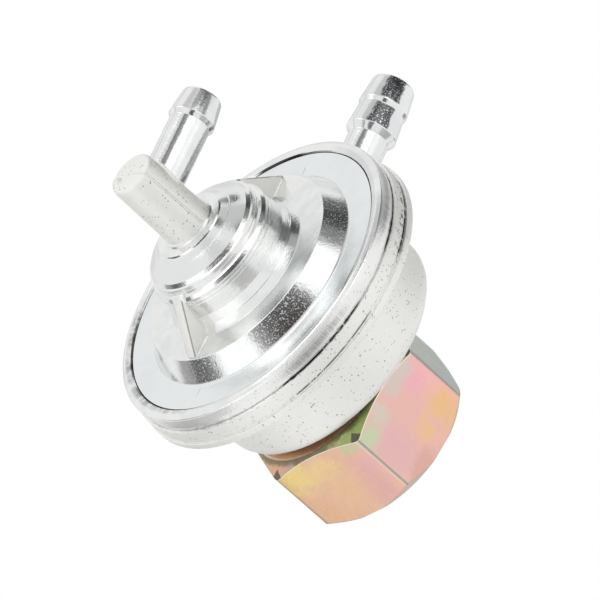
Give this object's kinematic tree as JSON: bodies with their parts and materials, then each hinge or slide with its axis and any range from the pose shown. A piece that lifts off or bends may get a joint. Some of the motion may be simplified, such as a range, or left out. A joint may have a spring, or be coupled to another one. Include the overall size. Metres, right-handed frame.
{
  "type": "fuel tap",
  "caption": "Vacuum-operated diaphragm fuel tap: cast cup with rolled rim over a stepped cover, two parallel hose nipples and an offset hexagon union nut for the tank.",
  "frame": {"origin": "middle of the upper face of the tank seal washer, on the axis of the union nut", "axes": "+Z along the union nut's axis into the tank, +X the way both hose nipples point"},
  "size_m": [0.0536, 0.041, 0.0484],
  "materials": {
    "cast_zinc": "bright as-cast zinc alloy, fine grained",
    "yellow_chromated_steel": "yellow chromated zinc plate, iridescent",
    "spring_steel": "drawn wire",
    "plated_disc_steel": "plated",
    "brass": "turned",
    "seal_fibre": "pressed fibre",
    "black_rubber": "moulded"
  },
  "bodies": {
    "tap_body": {"body_casting": "cast_zinc", "cover_casting": "cast_zinc", "nut_retaining_ring": "spring_steel", "tank_seal_washer": "seal_fibre", "valve_diaphragm": "black_rubber", "return_spring": "spring_steel"},
    "nut": {"union_nut": "yellow_chromated_steel"},
    "valve": {"fuel_side_plate": "plated_disc_steel", "spring_side_plate": "plated_disc_steel", "valve_rivet": "brass", "valve_pad": "black_rubber"}
  },
  "joints": [
    {"name": "union_nut_spin", "type": "hinge", "parent": "tap_body", "child": "nut", "pos_m": [0, 0, 0], "axis": [0, 0, 1], "continuous": true},
    {"name": "valve_lift", "type": "slide", "parent": "tap_body", "child": "valve", "axis": [0, 0, -1], "range_m": [0, 0.0014], "stiffness_N_per_m": 900, "springref_m": -0.004, "deforming": ["return_spring", "valve_diaphragm"]}
  ]
}
